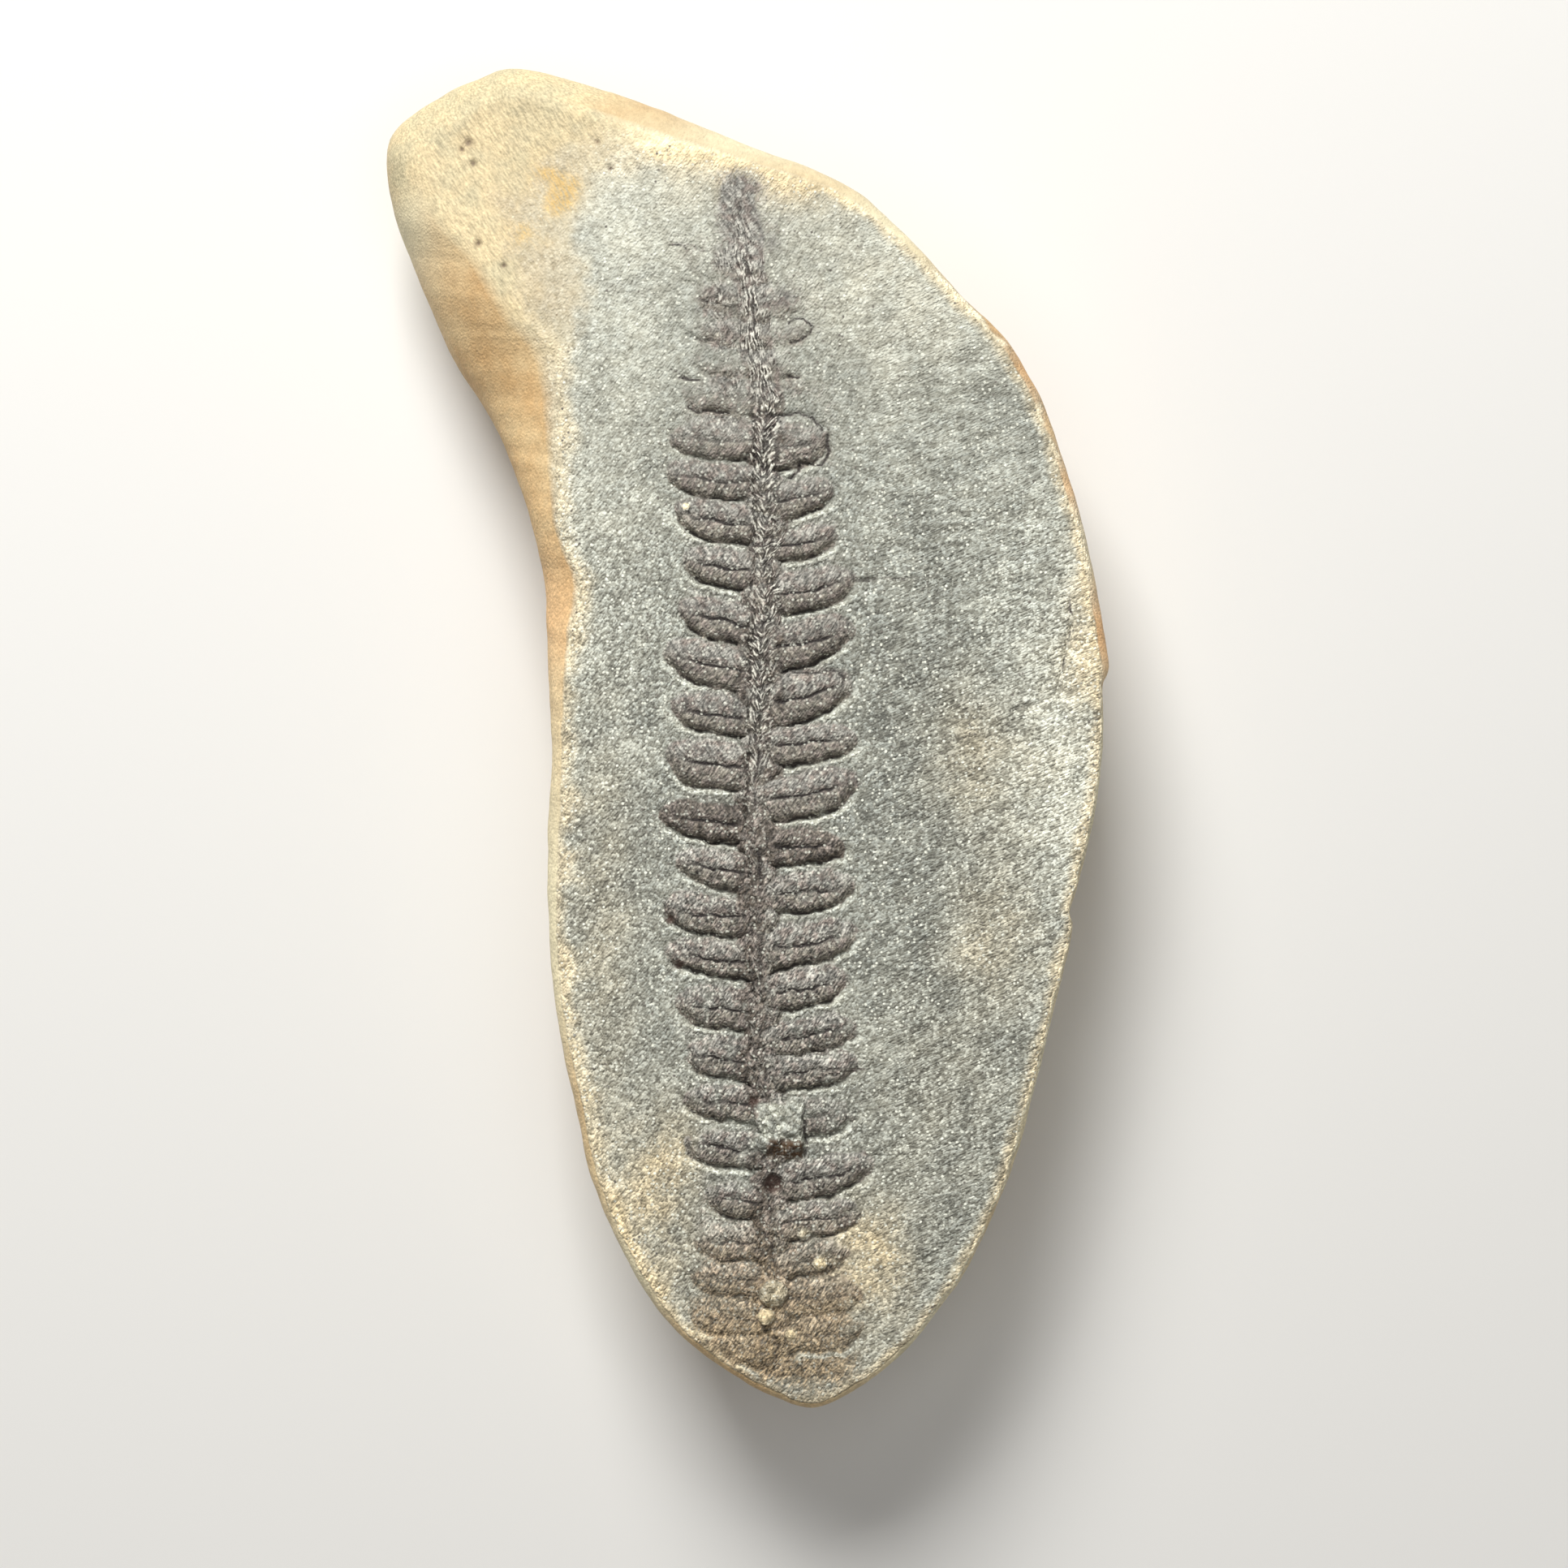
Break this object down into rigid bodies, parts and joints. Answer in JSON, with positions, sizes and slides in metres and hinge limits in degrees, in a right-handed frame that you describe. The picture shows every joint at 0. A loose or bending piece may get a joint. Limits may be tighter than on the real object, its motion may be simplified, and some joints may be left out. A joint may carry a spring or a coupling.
{
  "type": "fossil fern nodule half",
  "caption": "Half of a split ironstone nodule lying on its rounded back, its flat split face up, with a fern frond pressed in low relief along the middle.",
  "frame": {"origin": "on the resting surface, under the middle of the nodule's box", "axes": "+Y along the frond towards its tip, +Z out of the split face, +X to the right when looking at the face with the tip up"},
  "size_m": [0.0554, 0.1022, 0.017],
  "materials": {
    "ironstone": "fine sparkling grey grain on the split face, darker brown in the frond, smooth tan weathered rind round the rim and back"
  },
  "bodies": {
    "root": {"nodule": "ironstone"}
  },
  "joints": []
}
